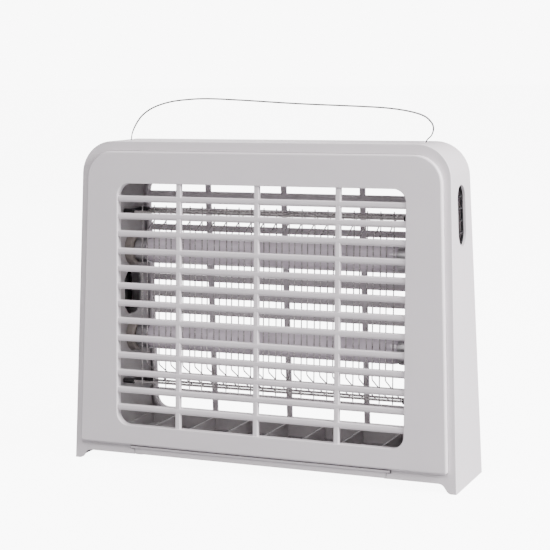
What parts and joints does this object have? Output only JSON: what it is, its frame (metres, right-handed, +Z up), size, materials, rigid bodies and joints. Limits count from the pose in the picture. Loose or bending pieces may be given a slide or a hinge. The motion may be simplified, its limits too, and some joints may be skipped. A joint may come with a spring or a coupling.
{
  "type": "electric bug zapper",
  "caption": "Free-standing insect killer: A-shaped plastic body with front and rear grilles, two horizontal UV tubes, an electrode grid, a pull-out tray and a wire hanger.",
  "frame": {"origin": "on the floor under the middle of the body, at the bottom centre of the whole object's box", "axes": "+X along the body's width, to the right as seen from the front; the front face with the tray lip faces -Y; +Z up"},
  "size_m": [0.39, 0.0924, 0.3528],
  "materials": {
    "body_abs": "satin moulded ABS, off-white",
    "inner_abs": "matt moulded ABS, light grey",
    "holder_plastic": "matt moulded thermoset, dark grey",
    "insulator_nylon": "matt nylon, black",
    "electrode_steel": "bright plated steel wire",
    "hanger_steel": "bright spring steel wire",
    "lamp_glass": "glass tube coated inside with a pale lilac phosphor, unlit",
    "cap_aluminium": "drawn aluminium cap",
    "screw_steel": "zinc-plated steel",
    "inlet_plastic": "black moulded plastic",
    "potting_epoxy": "black potting epoxy",
    "circuit_board": "green solder mask",
    "capacitor_film": "dipped film capacitor, ochre",
    "choke_varnish": "varnished winding, red-brown"
  },
  "bodies": {
    "housing": {"housing_frame": "body_abs", "front_panel": "body_abs", "rear_panel": "body_abs", "left_bottom_cover": "body_abs", "right_bottom_cover": "body_abs", "bottom_guard": "inner_abs", "left_partition": "inner_abs", "right_partition": "inner_abs", "left_hanger_bush": "inner_abs", "right_hanger_bush": "inner_abs", "upper_left_lampholder": "holder_plastic", "upper_right_lampholder": "holder_plastic", "lower_left_lampholder": "holder_plastic", "lower_right_lampholder": "holder_plastic", "top_left_grid_insulator": "insulator_nylon", "top_right_grid_insulator": "insulator_nylon", "bottom_left_grid_insulator": "insulator_nylon", "bottom_right_grid_insulator": "insulator_nylon", "outer_grid": "electrode_steel", "inner_grid": "electrode_steel", "rear_panel_screw_1": "screw_steel", "rear_panel_screw_2": "screw_steel", "rear_panel_screw_3": "screw_steel", "rear_panel_screw_4": "screw_steel", "mains_inlet": "inlet_plastic", "left_vent_insert": "inlet_plastic", "right_vent_insert": "inlet_plastic", "high_voltage_transformer": "potting_epoxy", "ballast_capacitor": "potting_epoxy", "multiplier_board": "circuit_board", "ballast_board": "circuit_board", "multiplier_capacitor_1": "capacitor_film", "multiplier_capacitor_2": "capacitor_film", "ballast_choke": "choke_varnish"},
    "tray": {"collecting_tray": "body_abs"},
    "upper_lamp": {"upper_lamp_tube": "lamp_glass", "upper_left_lamp_cap": "cap_aluminium", "upper_right_lamp_cap": "cap_aluminium"},
    "lower_lamp": {"lower_lamp_tube": "lamp_glass", "lower_left_lamp_cap": "cap_aluminium", "lower_right_lamp_cap": "cap_aluminium"},
    "hanger": {"hanger_wire": "hanger_steel"}
  },
  "joints": [
    {"name": "tray_slide", "type": "slide", "parent": "housing", "child": "tray", "axis": [0, -1, 0], "range_m": [0, 0.075]},
    {"name": "upper_lamp_twist", "type": "hinge", "parent": "housing", "child": "upper_lamp", "pos_m": [0, 0, 0.204], "axis": [1, 0, 0], "range_deg": [0, 90]},
    {"name": "lower_lamp_twist", "type": "hinge", "parent": "housing", "child": "lower_lamp", "pos_m": [0, 0, 0.1185], "axis": [1, 0, 0], "range_deg": [0, 90]},
    {"name": "hanger_swing", "type": "hinge", "parent": "housing", "child": "hanger", "pos_m": [0, 0.006, 0.3055], "axis": [1, 0, 0], "range_deg": [-45, 45]}
  ]
}
